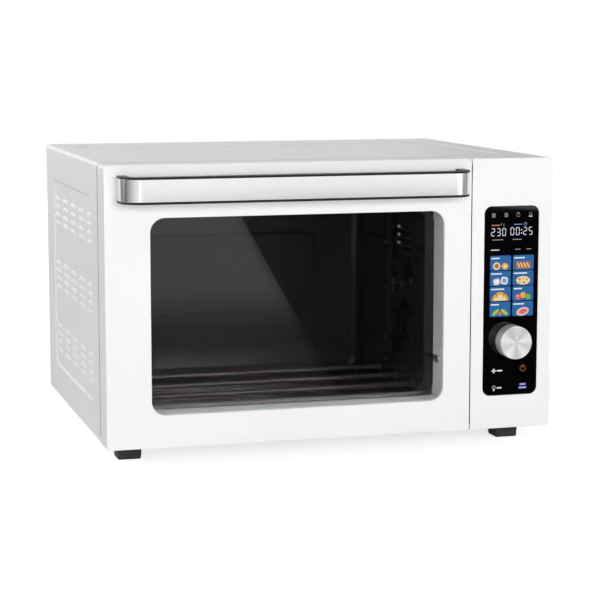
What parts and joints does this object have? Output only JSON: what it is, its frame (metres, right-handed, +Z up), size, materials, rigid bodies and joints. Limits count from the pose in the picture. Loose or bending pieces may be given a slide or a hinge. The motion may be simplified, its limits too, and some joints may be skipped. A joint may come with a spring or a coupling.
{
  "type": "mini oven",
  "caption": "Countertop mini oven with a drop-down glass door, bar handle, touch display column with a knob, side fan and rotisserie drive.",
  "frame": {"origin": "on the worktop under the middle of the oven's box", "axes": "+X to the right seen from the front, +Y from the door to the back, +Z up"},
  "size_m": [0.54, 0.4884, 0.346],
  "materials": {
    "white_enamel": "satin white enamel",
    "grey_liner": "satin grey enamel",
    "galvanised": "galvanised sheet steel",
    "cavity_steel": "satin aluminised steel",
    "black_plastic": "fine matt black",
    "brushed_steel": "stainless steel brushed along the handle",
    "turned_aluminium": "spun face with fine rings",
    "zinc_steel": "bright zinc plate",
    "door_glass": "tinted toughened glass",
    "lamp_glass": "clear pressed glass",
    "display_panel": "glossy black touch panel",
    "circuit_board": "green circuit board",
    "heater_sheath": "heat-browned steel tube",
    "ceramic": "unglazed ceramic",
    "motor_steel": "pressed steel motor shell"
  },
  "bodies": {
    "case": {"outer_case": "white_enamel", "base_pan": "galvanised", "back_panel": "galvanised", "cord_gland": "black_plastic", "foot_front_left": "black_plastic", "foot_front_right": "black_plastic", "foot_rear_left": "black_plastic", "foot_rear_right": "black_plastic", "front_frame": "grey_liner", "cavity_left_wall": "cavity_steel", "cavity_right_wall": "cavity_steel", "cavity_ceiling": "cavity_steel", "cavity_floor": "cavity_steel", "cavity_rear_wall": "cavity_steel", "heater_bottom_1": "heater_sheath", "heater_bottom_2": "heater_sheath", "heater_bottom_3": "heater_sheath", "heater_bottom_4": "heater_sheath", "heater_top_1": "heater_sheath", "heater_top_2": "heater_sheath", "heater_top_3": "heater_sheath", "heater_top_4": "heater_sheath", "lamp_lens": "lamp_glass", "lamp_holder": "ceramic", "temperature_sensor": "zinc_steel", "hinge_bracket_left": "zinc_steel", "hinge_bracket_right": "zinc_steel", "hinge_pin_left": "zinc_steel", "hinge_pin_right": "zinc_steel", "control_panel": "white_enamel", "display_glass": "display_panel", "display_module": "black_plastic", "display_board": "circuit_board", "encoder_body": "zinc_steel", "power_board": "circuit_board", "fan_housing": "galvanised", "fan_motor": "motor_steel", "rotisserie_bracket": "galvanised", "rotisserie_motor": "motor_steel"},
    "door": {"door_frame": "white_enamel", "door_glass_outer": "door_glass", "door_liner": "grey_liner", "door_glass_inner": "door_glass", "handle_core": "black_plastic", "handle_face": "brushed_steel", "door_stay_left": "zinc_steel", "door_stay_right": "zinc_steel", "hinge_block_left": "black_plastic", "hinge_block_right": "black_plastic"},
    "control_knob": {"knob": "turned_aluminium", "encoder_shaft": "zinc_steel"},
    "fan_rotor": {"fan_impeller": "galvanised", "fan_shaft": "zinc_steel"},
    "spit_drive": {"rotisserie_socket": "zinc_steel"}
  },
  "joints": [
    {"name": "door_hinge", "type": "hinge", "parent": "case", "child": "door", "pos_m": [-0.042, -0.17575, 0.032], "axis": [1, 0, 0], "range_deg": [0, 78]},
    {"name": "knob_spin", "type": "hinge", "parent": "case", "child": "control_knob", "pos_m": [0.2185, -0.21375, 0.128], "axis": [0, -1, 0], "continuous": true},
    {"name": "fan_spin", "type": "hinge", "parent": "case", "child": "fan_rotor", "pos_m": [0.17, 0.01425, 0.12], "axis": [1, 0, 0], "continuous": true},
    {"name": "rotisserie_spin", "type": "hinge", "parent": "case", "child": "spit_drive", "pos_m": [0.17, 0.01425, 0.174], "axis": [1, 0, 0], "continuous": true}
  ]
}
